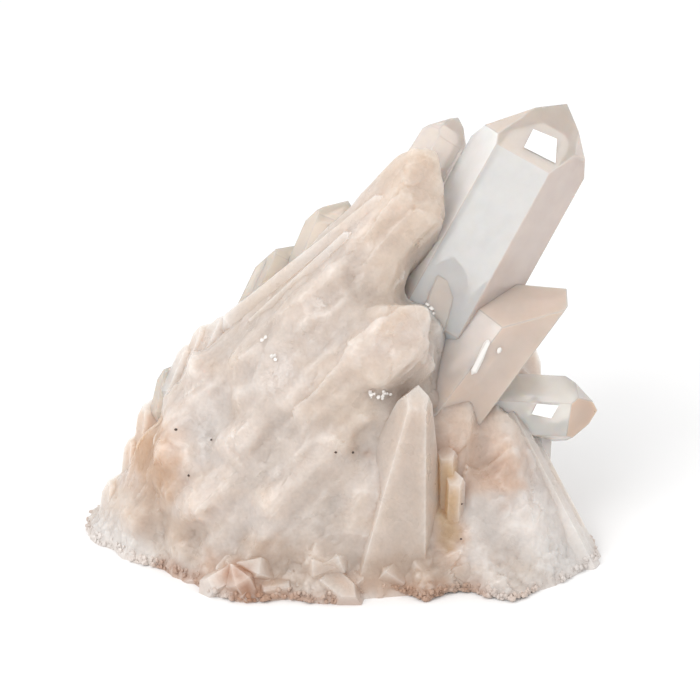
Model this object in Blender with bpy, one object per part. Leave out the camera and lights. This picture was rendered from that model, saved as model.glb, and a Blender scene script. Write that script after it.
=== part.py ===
"""A quartz crystal cluster: one intergrown mineral specimen that stands on a flat broken base.

The finished solid is in metres, +Z up, cut off flat on z = 0, with the middle of its box over the
origin. -Y is the display side, and the tall clear crystal leans towards +X. The crystals and the
matrix that they grew from are one solid.
"""

import itertools
import math
import random
from typing import NamedTuple

import bmesh
import bpy
import numpy as np
from mathutils import Matrix, Vector, noise

MM = 0.001

# ---- driving dimensions, in millimetres ----
BOX_CENTRE = (0.1, 4.7)  # the middle of the cluster's box, which is moved over the origin at the end
BASE_CENTRE = (3.0, 1.0)  # the middle of the footprint, which the mound rises towards
GROUND_SIZE = 400.0
MOUND_SEGMENTS = 96
MOUND_OVAL = (50.0, 34.0)  # the half axes of the oval that the mound's outline turns into as it rises
MOUND_ROUND_HEIGHT = 15.0  # from this height up the outline is all oval
MOUND_LEAN = 0.35  # how far the mound leans back for each millimetre that it rises
FACE_TO_AXIS_DEG = 38.2  # quartz: a termination face leans this far from the crystal's long axis
DISPLAY_RISE = math.radians(22.0)  # how far above level the display side is looked at from
FRONT = Vector((0.0, -math.cos(DISPLAY_RISE), math.sin(DISPLAY_RISE)))

# The outline of the broken base on the table, anticlockwise seen from above, starting at the left corner.
FOOTPRINT = (
    (-59, 6), (-56.5, -3), (-52, -8), (-47.5, -13), (-44, -16.5), (-37, -20), (-31, -26), (-25.5, -33.5),
    (-17, -35), (-11, -33), (-5.5, -35), (0.5, -34.5), (5, -31), (10.5, -29.5), (14.5, -30.5), (19, -34.5),
    (22.5, -31.5), (27, -29.5), (31.5, -32), (37.5, -34.5), (43.5, -30), (49, -25), (56.5, -16), (57.5, -10),
    (53, 2), (50, 12), (42, 24), (30, 30), (16, 35), (2, 37), (-14, 35), (-28, 33), (-40, 28), (-52, 18),
)

# How the mound's outline shrinks with height: (height, share of the footprint).
MOUND_PROFILE = (
    (0.0, 0.985), (1.5, 1.0), (4.0, 0.98), (7.0, 0.95), (10.0, 0.91), (14.0, 0.85), (18.0, 0.78),
    (22.0, 0.70), (26.0, 0.61), (30.0, 0.51), (34.0, 0.39), (37.0, 0.27), (39.0, 0.14),
)


class Crystal(NamedTuple):
    """One quartz crystal. Lengths are in millimetres, before the cluster is moved over the origin."""

    name: str
    tip: tuple  # the point where the large termination faces meet
    foot: tuple  # the end of the buried root
    girth: float  # from the axis to a prism face
    roll: float = 0.0  # turns the prism about its axis; at 0 one face looks to the display side
    lean: float = 0.0  # how far the tip stands to the right of the axis
    minor: float = 1.2  # how far the three small termination faces stand out from the tip
    taper: float = 1.0  # degrees that each prism face closes in towards the tip


CRYSTALS = (
    # the clear crystals on the right
    Crystal("clear_point", (50, 18, 96), (16, 3.5, 36), 11.4, roll=2, lean=1.8, minor=2.4, taper=0.4),
    Crystal("rear_tip", (26.5, 24, 91), (6, 10, 60), 5.0, roll=15, minor=0.8),
    Crystal("right_point", (50, 4, 58), (19, -9, 19.5), 8.8, roll=-30, lean=6.3, minor=8.0),
    Crystal("stub", (27, 6, 65), (18, -2, 44), 5.0, taper=2.0),
    Crystal("side_point", (58, 6, 28), (22, -1, 32.5), 6.8, roll=20, taper=0.5),
    Crystal("side_stub", (43, 5, 29.5), (41, 0, 6), 4.5, taper=2.0),
    # the large milky crystals of the front
    Crystal("shoulder_point", (22, 8, 89), (-43, 0, 19), 8.7, lean=-4.2, roll=4, minor=3.0),
    Crystal("centre_point", (16, -8, 60), (-10, -15, 22), 8.5, roll=8, taper=2.0, lean=2.0, minor=3.0),
    Crystal("blade", (17, -20, 45), (4, -16, -30), 3.0, roll=12, taper=14.0),
    Crystal("low_point", (-1, -20, 36), (-25, -14, -30), 4.0, taper=16.0),
    Crystal("ridge", (-2, -13, 46), (-46, -17, -28), 6.5, lean=-3.0, taper=3.0),
    Crystal("left_block", (-31.5, -2, 37), (-29, -16, -26), 8.0, taper=6.0, minor=3.0),
    Crystal("left_lobe", (-41.5, 4, 18), (-57, -4, -20), 5.0, taper=6.0, minor=3.0),
    Crystal("pyramid", (34, -6, 35), (44.5, -15, -34), 3.5, taper=18.0, roll=-10, minor=0.5),
    Crystal("flank_a", (35.5, -2, 34.5), (56.5, -16.5, -4), 2.0),
    Crystal("flank_b", (37.5, 2, 32), (57, -13, -4), 2.0),
    Crystal("crevice_a", (23, -17, 29.5), (24, -20, -4), 2.6),
    Crystal("crevice_b", (25.5, -19, 24), (24, -22, -6), 2.6),
    # the shorter crystals that step down the left side
    Crystal("fringe_a", (2, 14, 75), (-9, 6, 49.5), 4.0, lean=2.4, minor=2.0),
    Crystal("fringe_b", (-9.5, 14, 64.5), (-20, 6, 44), 3.0, lean=1.5, minor=2.0),
    Crystal("fringe_c", (-12, 15, 62), (-22, 7, 41.5), 3.2, lean=1.2, minor=2.0),
    Crystal("fringe_d", (-20.5, 12, 49.5), (-29.5, 4, 31.5), 3.9, lean=2.4, minor=2.0),
    Crystal("fringe_d2", (-28, 13, 46.5), (-34, 5, 31.5), 2.4, lean=0.8, minor=2.0),
    Crystal("fringe_e", (-31.5, 12, 42), (-37.5, 4, 29), 2.4, lean=0.8, minor=2.0),
    Crystal("fringe_f", (-36, 12, 37), (-39, 4, 24), 2.4, lean=1.4, minor=2.0),
    Crystal("left_a", (-40.5, 10, 30), (-42, 2, 14), 3.1, lean=1.0, minor=2.0),
    Crystal("left_b", (-44, 8, 22.5), (-45.5, 2, 6), 3.1, lean=0.7, minor=2.0),
    Crystal("left_c", (-48, 6, 13.5), (-50, -1, -3), 3.4, lean=1.2, minor=2.0),
    # the crystals of the back, which lean away from the display side
    Crystal("back_a", (30, 31, 50), (8, 6, 16), 7.0, roll=10),
    Crystal("back_b", (10, 37, 62), (-4, 6, 22), 7.5, roll=25),
    Crystal("back_c", (-14, 35, 47), (-16, 6, 12), 6.5, roll=5),
    Crystal("back_d", (-33, 29, 30), (-24, 6, 6), 5.5, roll=40),
    Crystal("back_e", (45, 24, 36), (20, 6, 12), 5.5, roll=20),
    Crystal("back_f", (24, 41, 30), (12, 10, 8), 5.0, roll=50),
    Crystal("back_g", (-3, 44, 33), (-4, 10, 10), 4.5, roll=15),
    Crystal("back_h", (-26, 40, 22), (-18, 12, 4), 4.0, roll=30),
)

# The many small crystals that crust the back and the sides of the mound.
CRUST_COUNT = 60
CRUST_GIRTH = (1.3, 2.8)
CRUST_LENGTH = (8.0, 15.0)
CRUST_HEIGHT = (3.0, 28.0)
CRUST_TURN_DEG = (18.0, 165.0)  # round the mound's back, from the right side to the left


# ---- numerical limits, in millimetres unless said ----
MIN_CROSSING = 1e-4  # three planes that meet more flatly than this have no corner
CORNER_TOLERANCE = 1e-6
MERGE = 1e-3
FLAT_ANGLE = math.radians(0.2)


def clear_scene():
    for obj in list(bpy.data.objects):
        bpy.data.objects.remove(obj)


def quartz_material():
    """Pale rose quartz, glossy and a little clear."""
    material = bpy.data.materials.new("quartz")
    material.use_nodes = True
    shader = material.node_tree.nodes["Principled BSDF"]
    shader.inputs["Base Color"].default_value = (0.83, 0.73, 0.67, 1.0)
    shader.inputs["Roughness"].default_value = 0.22
    shader.inputs["Metallic"].default_value = 0.0
    shader.inputs["IOR"].default_value = 1.544
    shader.inputs["Transmission Weight"].default_value = 0.25
    return material


def object_from(bm, name):
    mesh = bpy.data.meshes.new(name)
    bm.to_mesh(mesh)
    bm.free()
    obj = bpy.data.objects.new(name, mesh)
    bpy.context.scene.collection.objects.link(obj)
    return obj


def corners_of(planes):
    """The corners of the convex solid under the planes, each given as (point on it, outward normal)."""
    normals = np.array([normal for _, normal in planes])
    depths = np.array([np.dot(point, normal) for point, normal in planes])
    triples = np.array(list(itertools.combinations(range(len(planes)), 3)))
    crossing = np.abs(np.linalg.det(normals[triples])) > MIN_CROSSING
    triples = triples[crossing]
    corners = np.linalg.solve(normals[triples], depths[triples][..., None])[..., 0]
    under_all = (corners @ normals.T < depths + CORNER_TOLERANCE).all(axis=1)
    return corners[under_all]


def crystal_frame(crystal):
    """The rotation from the crystal's own frame, X to its right and Z along it, to the cluster's."""
    long_axis = (Vector(crystal.tip) - Vector(crystal.foot)).normalized()
    back = (long_axis * FRONT.dot(long_axis) - FRONT).normalized()
    right = back.cross(long_axis)
    return Matrix((right, back, long_axis)).transposed().to_4x4()


def crystal_solid(crystal):
    """A six-sided prism under three large and three small termination faces.

    It is worked in the crystal's own frame, with the tip at the origin and the long axis along +Z. The
    buried root is pointed too, so that none of it stands out of the neighbours.
    """
    length = (Vector(crystal.tip) - Vector(crystal.foot)).length
    axis_side = Vector((-crystal.lean, 0, 0))
    root_end = axis_side - Vector((0, 0, length))
    taper = math.radians(crystal.taper)
    rise = math.radians(FACE_TO_AXIS_DEG)
    planes = []
    for side in range(6):
        turn = math.radians(crystal.roll + 60 * side)
        outward = Vector((math.sin(turn), -math.cos(turn), 0.0))
        shoulder = axis_side + outward * crystal.girth - Vector((0, 0, crystal.girth))
        planes.append((shoulder, outward * math.cos(taper) + Vector((0, 0, math.sin(taper)))))
        top = outward * math.cos(rise) + Vector((0, 0, math.sin(rise)))
        planes.append((top * (crystal.minor if side % 2 else 0.0), top))
        planes.append((root_end, outward * math.cos(rise) - Vector((0, 0, math.sin(rise)))))
    bm = bmesh.new()
    for corner in corners_of(planes):
        bm.verts.new(corner)
    bmesh.ops.remove_doubles(bm, verts=bm.verts, dist=MERGE)
    bmesh.ops.convex_hull(bm, input=bm.verts)
    bmesh.ops.dissolve_limit(bm, angle_limit=FLAT_ANGLE, verts=bm.verts, edges=bm.edges)
    bmesh.ops.recalc_face_normals(bm, faces=bm.faces)
    place = Matrix.Translation(Vector(crystal.tip)) @ crystal_frame(crystal)
    bmesh.ops.transform(bm, matrix=Matrix.Scale(MM, 4) @ place, verts=bm.verts)
    return object_from(bm, crystal.name)


def smooth_outline(points, count):
    """count points along a closed Catmull-Rom curve through the outline's points."""
    outline = [Vector(point) for point in points]
    total = len(outline)
    smooth = []
    for step in range(count):
        place = step * total / count
        start = int(place)
        t = place - start
        a, b, c, d = (outline[(start + k) % total] for k in (-1, 0, 1, 2))
        smooth.append(
            0.5 * (2 * b + (c - a) * t + (2 * a - 5 * b + 4 * c - d) * t**2 + (3 * b - a - 3 * c + d) * t**3)
        )
    return smooth


def roughened(point):
    """A point of the mound, in millimetres, pushed in and out by the broken, granular surface."""
    chunk = noise.noise(point * 0.09) * 3.0
    lump = noise.noise(point * 0.27 + Vector((7, 3, 1))) * 1.3
    grain = noise.noise(point * 0.8 + Vector((2, 9, 4))) * 0.7
    out = Vector((point.x - BASE_CENTRE[0], point.y - BASE_CENTRE[1], 0.0)).normalized()
    rise = min(1.0, point.z / 8.0)
    moved = point + out * (chunk * rise + lump * rise + grain)
    moved.z += (chunk * 0.6 + lump * 0.6) * rise
    return moved


def mound_outline(height):
    """The mound's outline at a height: the footprint at the table, and closer to an oval the higher it is."""
    shares = dict(MOUND_PROFILE)
    lower = max(level for level in shares if level <= height)
    upper = min(level for level in shares if level >= height)
    mix = (height - lower) / (upper - lower) if upper > lower else 0.0
    share = shares[lower] * (1 - mix) + shares[upper] * mix
    centre = Vector(BASE_CENTRE)
    round_off = min(1.0, height / MOUND_ROUND_HEIGHT)
    outline = []
    for corner in smooth_outline(FOOTPRINT, MOUND_SEGMENTS):
        out = corner - centre
        turn = math.atan2(out.y / MOUND_OVAL[1], out.x / MOUND_OVAL[0])
        oval = Vector((math.cos(turn) * MOUND_OVAL[0], math.sin(turn) * MOUND_OVAL[1]))
        flat = centre + out.lerp(oval, round_off) * share
        outline.append(Vector((flat.x, flat.y + MOUND_LEAN * height, height)))
    return outline


def matrix_mound():
    """The milky mass that the crystals stand in: a broken mound, flat underneath."""
    bm = bmesh.new()
    rings = []
    for height, _ in MOUND_PROFILE:
        ring = []
        for point in mound_outline(height):
            if height > 0:
                point = roughened(point)
            ring.append(bm.verts.new(point * MM))
        rings.append(ring)
    for low, high in zip(rings, rings[1:]):
        for k in range(MOUND_SEGMENTS):
            n = (k + 1) % MOUND_SEGMENTS
            bm.faces.new((low[k], low[n], high[n], high[k]))
    bm.faces.new(list(reversed(rings[0])))
    bm.faces.new(rings[-1])
    bmesh.ops.recalc_face_normals(bm, faces=bm.faces)
    return object_from(bm, "mound")


def crust():
    """The small crystals of the back, half sunk in the mound and pointing out and up."""
    dice = random.Random(5)
    for number in range(CRUST_COUNT):
        outline = mound_outline(dice.uniform(*CRUST_HEIGHT))
        turn = math.radians(dice.uniform(*CRUST_TURN_DEG))
        heading = Vector((math.cos(turn), math.sin(turn), 0))
        seat = max(outline, key=lambda point: (point - Vector((*BASE_CENTRE, point.z))).normalized().dot(heading))
        aim = heading + Vector((dice.uniform(-0.4, 0.4), dice.uniform(-0.4, 0.4), dice.uniform(0.5, 1.6)))
        length = dice.uniform(*CRUST_LENGTH)
        tip = seat + aim.normalized() * length * 0.5
        foot = seat - aim.normalized() * length * 0.5
        girth = dice.uniform(*CRUST_GIRTH)
        yield Crystal(f"crust_{number:02d}", tuple(tip), tuple(foot), girth, roll=dice.uniform(0, 60))


def ground_block():
    """All that is under the table's surface, which the cluster is cut off at."""
    bm = bmesh.new()
    bmesh.ops.create_cube(bm, size=GROUND_SIZE * MM)
    bmesh.ops.translate(bm, vec=(0, 0, -GROUND_SIZE / 2 * MM), verts=bm.verts)
    return object_from(bm, "ground")


def apply_boolean(target, operation, tools):
    """Runs one exact Boolean of target with the tools and removes them."""
    group = bpy.data.collections.new("tools")
    bpy.context.scene.collection.children.link(group)
    for tool in tools:
        group.objects.link(tool)
    modifier = target.modifiers.new(operation.lower(), "BOOLEAN")
    modifier.operation = operation
    modifier.solver = "EXACT"
    modifier.operand_type = "COLLECTION"
    modifier.collection = group
    graph = bpy.context.evaluated_depsgraph_get()
    mesh = bpy.data.meshes.new_from_object(target.evaluated_get(graph))
    target.modifiers.clear()
    target.data = mesh
    for tool in tools:
        bpy.data.objects.remove(tool)
    bpy.data.collections.remove(group)


def main():
    clear_scene()
    cluster = matrix_mound()
    cluster.name = "quartz_cluster"
    apply_boolean(cluster, "UNION", [crystal_solid(crystal) for crystal in (*CRYSTALS, *crust())])
    apply_boolean(cluster, "DIFFERENCE", [ground_block()])
    cluster.data.transform(Matrix.Translation(Vector((-BOX_CENTRE[0], -BOX_CENTRE[1], 0.0)) * MM))
    cluster.data.materials.clear()
    cluster.data.materials.append(quartz_material())
    cluster.data.name = "quartz_cluster"


main()
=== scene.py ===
"""The looks of the quartz crystal cluster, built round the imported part.

Lengths are in millimetres. Shapes are made in the crystals' own numbers, which SHIFT brings to the part's
frame: +Z up, the table at z = 0 and -Y the display side.
"""

import itertools
import math
import random
from typing import NamedTuple

import bmesh
import bpy
import numpy as np
from mathutils import Matrix, Vector, noise
from mathutils.bvhtree import BVHTree


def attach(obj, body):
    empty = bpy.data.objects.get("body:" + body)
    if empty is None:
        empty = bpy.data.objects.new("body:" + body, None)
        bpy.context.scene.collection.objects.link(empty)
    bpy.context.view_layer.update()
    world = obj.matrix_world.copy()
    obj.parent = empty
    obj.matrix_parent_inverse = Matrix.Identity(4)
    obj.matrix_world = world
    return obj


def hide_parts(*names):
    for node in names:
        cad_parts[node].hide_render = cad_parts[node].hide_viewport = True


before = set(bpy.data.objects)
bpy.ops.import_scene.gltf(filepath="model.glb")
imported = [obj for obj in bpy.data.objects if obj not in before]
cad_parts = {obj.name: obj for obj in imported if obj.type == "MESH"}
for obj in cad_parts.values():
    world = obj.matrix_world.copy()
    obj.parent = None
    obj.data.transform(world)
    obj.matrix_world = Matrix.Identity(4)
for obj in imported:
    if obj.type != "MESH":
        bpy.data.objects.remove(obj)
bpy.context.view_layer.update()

MM = 0.001

# ---- driving dimensions, the part's own or close to them ----
SHIFT = Vector((-0.1, -4.7, 0.0))  # from the crystals' own numbers to the part's frame
BASE_CENTRE = (3.0, 1.0)  # the middle of the footprint
GROUND_SIZE = 400.0
MOUND_SEGMENTS = 96
MOUND_OVAL = (50.0, 34.0)  # half axes of the mound's outline higher up
MOUND_ROUND_HEIGHT = 15.0  # all oval from here up
MOUND_LEAN = 0.35  # how far it leans back, for its height
FACE_TO_AXIS_DEG = 38.2  # quartz: how far a tip face leans from the long axis
DISPLAY_RISE = math.radians(22.0)  # where it is looked at from, above level
FRONT = Vector((0.0, -math.cos(DISPLAY_RISE), math.sin(DISPLAY_RISE)))

# The outline of the broken base on the table, anticlockwise from the left corner.
FOOTPRINT = (
    (-59, 6), (-56.5, -3), (-52, -8), (-47.5, -13), (-44, -16.5), (-37, -20), (-31, -26), (-25.5, -33.5),
    (-17, -35), (-11, -33), (-5.5, -35), (0.5, -34.5), (5, -31), (10.5, -29.5), (14.5, -30.5), (19, -34.5),
    (22.5, -31.5), (27, -29.5), (31.5, -32), (37.5, -34.5), (43.5, -30), (49, -25), (56.5, -16),
    (57.5, -10), (53, 2), (50, 12), (42, 24), (30, 30), (16, 35), (2, 37), (-14, 35), (-28, 33), (-40, 28),
    (-52, 18),
)

# How the mound's outline shrinks with height: (height, share of the footprint).
MOUND_PROFILE = (
    (0.0, 0.985), (1.5, 1.0), (4.0, 0.98), (7.0, 0.95), (10.0, 0.91), (14.0, 0.85), (18.0, 0.78),
    (22.0, 0.70), (26.0, 0.61), (30.0, 0.51), (34.0, 0.39), (37.0, 0.27), (39.0, 0.14),
)

# The mound's chunks, lumps and grains: how close and how high they are, and the pattern's start.
MOUND_ROUGHNESS = ((0.09, 3.0, (0, 0, 0)), (0.27, 1.3, (7, 3, 1)), (0.8, 0.7, (2, 9, 4)))
ROUGH_HEIGHT = 8.0  # chunks and lumps stand out in full from here up
ROUGH_LIFT = 0.6  # how much of them lifts the surface too


class Crystal(NamedTuple):
    """One quartz crystal, given as in the part."""

    name: str
    tip: tuple  # the point where the large tip faces meet
    foot: tuple  # the end of the buried root
    girth: float  # from the axis to a prism face
    roll: float = 0.0  # at 0 one face looks to the display side
    lean: float = 0.0  # how far the tip stands to the right of the axis
    minor: float = 1.2  # how far the three small tip faces stand out
    taper: float = 1.0  # degrees that the prism faces close in


# The see-through crystals. FILMS gives the film on each.
CLEAR_CRYSTALS = (
    Crystal("clear_point", (50, 18, 96), (16, 3.5, 36), 11.4, roll=-5, lean=1.8, minor=2.4, taper=0.4),
    Crystal("rear_tip", (26.5, 24, 91), (6, 10, 60), 5.0, roll=15, minor=0.8),
    Crystal("right_point", (50, 4, 58), (8, -13.5, 6), 8.8, roll=-30, lean=6.3, minor=8.0),
    Crystal("stub", (25.5, 4, 65.5), (17, -4, 42), 4.2, taper=2.0),
    Crystal("side_point", (58, 6, 28), (22, -1, 32.5), 6.8, roll=20, taper=0.5),
    Crystal("side_stub", (43, 5, 29.5), (41, 0, 6), 4.5, taper=2.0),
)

# The shorter half-clear crystals that step down the left side.
FRINGE_CRYSTALS = (
    Crystal("fringe_a", (2, 14, 75), (-9, 6, 49.5), 4.0, lean=2.4, minor=2.0),
    Crystal("fringe_b", (-9.5, 14, 64.5), (-20, 6, 44), 3.0, lean=1.5, minor=2.0),
    Crystal("fringe_c", (-12, 15, 62), (-22, 7, 41.5), 3.2, lean=1.2, minor=2.0),
    Crystal("fringe_f", (-36, 12, 37), (-39, 4, 24), 2.4, lean=1.4, minor=2.0),
)

# The milky crystals whose edges have grown together and worn soft.
FUSED_CRYSTALS = (
    Crystal("shoulder_point", (22, 8, 89), (-43, 0, 19), 8.7, lean=-4.2, roll=4, minor=3.0),
    Crystal("centre_point", (15, -8, 59), (-10, -15, 22), 8.5, roll=8, taper=2.0, lean=2.0, minor=3.0),
    Crystal("low_point", (-1, -20, 36), (-25, -14, -30), 4.0, taper=16.0),
    Crystal("ridge", (-2, -13, 46), (-46, -17, -28), 6.5, lean=-3.0, taper=3.0),
    Crystal("left_block", (-31.5, -2, 37), (-29, -16, -26), 8.0, taper=6.0, minor=3.0),
    Crystal("left_lobe", (-41.5, 4, 18), (-57, -4, -20), 5.0, taper=6.0, minor=3.0),
    Crystal("blade_root", (15.5, -19, 40), (3, -15, -30), 3.0, roll=12, taper=14.0),
    Crystal("fill_a", (-13, -8, 40), (-30, -14, -20), 5.5, taper=6.0),
    Crystal("fill_b", (8, -14, 46), (2, -17, -20), 5.0, taper=6.0),
    Crystal("shoulder_root", (12, 3, 75), (3, -7, 46), 6.0, taper=2.0),
    Crystal("right_foot", (25, -8.5, 42), (20, -15, -10), 5.5, taper=3.0, roll=15),
    Crystal("gap_root", (19, -3, 58), (10, -12, 20), 5.5),
    Crystal("fill_c", (0, -17, 36), (-4, -22, -30), 5.0, taper=10.0),
    Crystal("fill_d", (8, -20.2, 30), (2, -24, -30), 5.5, taper=9.0),
    Crystal("fill_e", (3, -5, 64), (-28, -13, 10), 6.5, roll=-30, taper=2.0),
    Crystal("fill_f", (-3, -25, 15), (-5, -29, -30), 5.0, taper=9.0),
    Crystal("pyramid_body", (32, -9, 27.5), (36, -17, -30), 6.5, taper=10.0),
    Crystal("pyramid", (34, -6, 35), (44.5, -15, -34), 3.5, taper=18.0, roll=-10, minor=0.5),
    Crystal("left_fill", (-38, 2, 29), (-46, -10, -24), 5.5, taper=7.0),
)

# The milky crystals that keep their edges.
CRISP_CRYSTALS = (
    Crystal("flank_a", (35.5, -2, 34.5), (56.5, -16.5, -4), 2.0),
    Crystal("flank_b", (37.5, 2, 32), (57, -13, -4), 2.0),
    Crystal("fringe_d", (-20.5, 12, 49.5), (-29.5, 4, 31.5), 3.9, lean=2.4, minor=2.0),
    Crystal("fringe_d2", (-28, 13, 46.5), (-34, 5, 31.5), 2.4, lean=0.8, minor=2.0),
    Crystal("fringe_e", (-31.5, 12, 42), (-37.5, 4, 29), 2.4, lean=0.8, minor=2.0),
    Crystal("left_a", (-40.5, 10, 30), (-42, 2, 14), 3.1, lean=1.0, minor=2.0),
    Crystal("left_b", (-44, 8, 22.5), (-45.5, 2, 6), 3.1, lean=0.7, minor=2.0),
    Crystal("left_c", (-48, 6, 13.5), (-50, -1, -3), 3.4, lean=1.2, minor=2.0),
    Crystal("blade", (17, -20, 45), (4, -16, -30), 3.0, roll=12, taper=14.0),
    Crystal("band_a", (11, 1.2, 80.7), (-26, 6.5, 46.5), 1.9, roll=35),
    Crystal("band_b", (3.5, -0.9, 73.1), (-20, 0.5, 49.0), 1.5, roll=35),
    Crystal("crevice_a", (23.2, -16, 29.5), (24, -19, -4), 2.2),
    Crystal("crevice_b", (25.2, -18, 24), (24, -20.5, -6), 2.0),
    Crystal("back_a", (30, 31, 50), (8, 6, 16), 7.0, roll=10),
    Crystal("back_b", (10, 37, 62), (-4, 6, 22), 7.5, roll=25),
    Crystal("back_c", (-14, 35, 47), (-16, 6, 12), 6.5, roll=5),
    Crystal("back_d", (-33, 29, 30), (-24, 6, 6), 5.5, roll=40),
    Crystal("back_e", (45, 24, 36), (20, 6, 12), 5.5, roll=20),
    Crystal("back_f", (24, 41, 30), (12, 10, 8), 5.0, roll=50),
    Crystal("back_g", (-3, 44, 33), (-4, 10, 10), 4.5, roll=15),
    Crystal("back_h", (-26, 40, 22), (-18, 12, 4), 4.0, roll=30),
)

# ---- the small crystals on the back ----
CRUST_COUNT = 60
CRUST_GIRTH = (1.3, 2.8)
CRUST_LENGTH = (8.0, 15.0)
CRUST_HEIGHT = (3.0, 28.0)
CRUST_TURN_DEG = (18.0, 165.0)
CRUST_STRAY = (-0.4, 0.4)  # aside, against 1 outward
CRUST_RISE = (0.5, 1.6)  # up, against 1 outward

# ---- flat crystal faces along the surface ----
GROWTH_AXIS = Vector((65.0, 8.0, 70.0)).normalized()  # of the long milky crystals


class Splinters(NamedTuple):
    """Crystals that lie almost wholly sunk, so that only low flat faces of them show."""

    name: str
    count: int
    low: tuple  # they sit on the surface nearest to points from low to high
    high: tuple
    girth: tuple
    length: tuple
    sunk: tuple  # how far the middle lies under the surface, for its girth
    grown: bool  # along the growth axis, or every way
    spin: tuple = (0, 60)  # the roll; near 0 a flat face looks to the front


# Those worn soft with the fused mass, and those that keep their edges.
SOFT_SPLINTERS = (
    Splinters("step", 24, (-30, -26, 18), (12, -4, 72), (1.8, 4.0), (14, 32), (0.8, 0.96), True),
    Splinters("plate_a", 24, (-34, -26, 16), (6, -4, 62), (6, 9), (18, 30), (0.99, 1.08), True, (-14, 14)),
    Splinters("plate_b", 10, (-54, -16, 4), (-30, -8, 26), (4, 7), (12, 20), (0.94, 1.02), True, (-20, 20)),
    Splinters("plate_c", 6, (32, -28, 4), (52, -16, 16), (5, 8), (12, 20), (0.96, 1.04), False, (-20, 20)),
)
CRISP_SPLINTERS = (
    Splinters("shard", 16, (-26, -34, 3), (28, -26, 7), (2.5, 5.0), (9, 16), (0.94, 1.01), False),
)
GROWN_STRAY = 0.12  # from the growth axis
FREE_STRAY = 0.2  # from the surface
SPLINTER_TAPER = 4.0

# ---- how finely the looks are made ----
FUSED_VOXEL = 0.68  # the mesh size of the fused, milky mass
CRISP_EDGE = 1.7  # the longest edge in the mesh of a crystal that keeps its edges
CLEAR_EDGE = 4.0  # the same for a clear crystal
CLEFT_FILL = 1.9  # clefts narrower than twice this are filled
SOFTENING_ROUNDS = 4
SMOOTHING_SHARE = 0.6

# ---- the fused mass's relief: the lumps' size and height, and the seed ----
SWELLS = (11.0, 0.35, 1)
RIPPLES = (2.4, 0.12, 3)
RIDGES = (2.0, 0.22, 2)
LONG_FACETS = (8.0, 0.045, 7)  # worn growth faces, with a tilt for a height
SHORT_FACETS = (5.5, 0.035, 8)
STRETCH = 0.82  # how far long patterns are drawn out; 1 is without end
GRAINY_HEIGHT = 9.0  # the broken base is sugary below about this height
GRAINY_START = 1.2  # over 1: the very foot is sugary all over
GRAINY_EDGE = (8.0, 0.5, 4)
GRAINS = (2.6, 5)  # their size and seed
GRAIN_HEIGHT = 0.9
GRAIN_SINK = 0.35
GRAIN_WAVES = (1.5, 0.3, 6)

# ---- noise ----
NOISE_GAIN = 1.6
SEED_STEP = 17.31
CELL_PRIMES = (73856093, 19349663, 83492791)
SEED_PRIME = 2654435761
MIXING_PRIME = 1274126177
GRAIN_STRAY = 0.42  # of its middle in its cell
FACET_STRAY = 0.45

# ---- numerical limits ----
MIN_CROSSING = 1e-4  # the least determinant of planes that meet
CORNER_TOLERANCE = 1e-6
MERGE = 1e-3
TINY = 1e-12
FLAT_ANGLE = math.radians(0.2)  # faces that meet at less are one
CRISP_ANGLE = math.radians(22.0)  # sharper edges stay hard
SAME_PLANE = 0.9995  # a greater cosine of two normals is one face

# ---- colours of the quartz ----
MILK = (0.548, 0.472, 0.42)
TAN = (0.545, 0.45, 0.375)
COOL = (0.555, 0.505, 0.472)
GREY_TAN = (0.49, 0.415, 0.36)
WHITE = (0.72, 0.68, 0.65)
PEACH = (0.56, 0.42, 0.335)
DEEP_TAN = (0.43, 0.33, 0.262)
IRON = (0.48, 0.33, 0.245)
# iron colour made deeper as painted shade, for the brightly lit left lobe
DEEP_IRON_AND_SHADE = (0.40, 0.25, 0.15)
RUST = (0.33, 0.17, 0.10)
GOLD = (0.50, 0.345, 0.21)
RIM_COLOUR = (0.56, 0.46, 0.40)
MOTTLES = ((TAN, 1.3, 0.8), (COOL, -1.0, 0.6))  # gain and limit where it is high, or low
MOTTLE = (13.0, 1.0, 11)
FINE_MOTTLE = (4.5, 0.6, 12)


class Stain(NamedTuple):
    """A patch of another colour: the line from start to end, and how far round it."""

    colour: tuple
    start: tuple
    end: tuple
    reach: float
    strength: float


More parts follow.
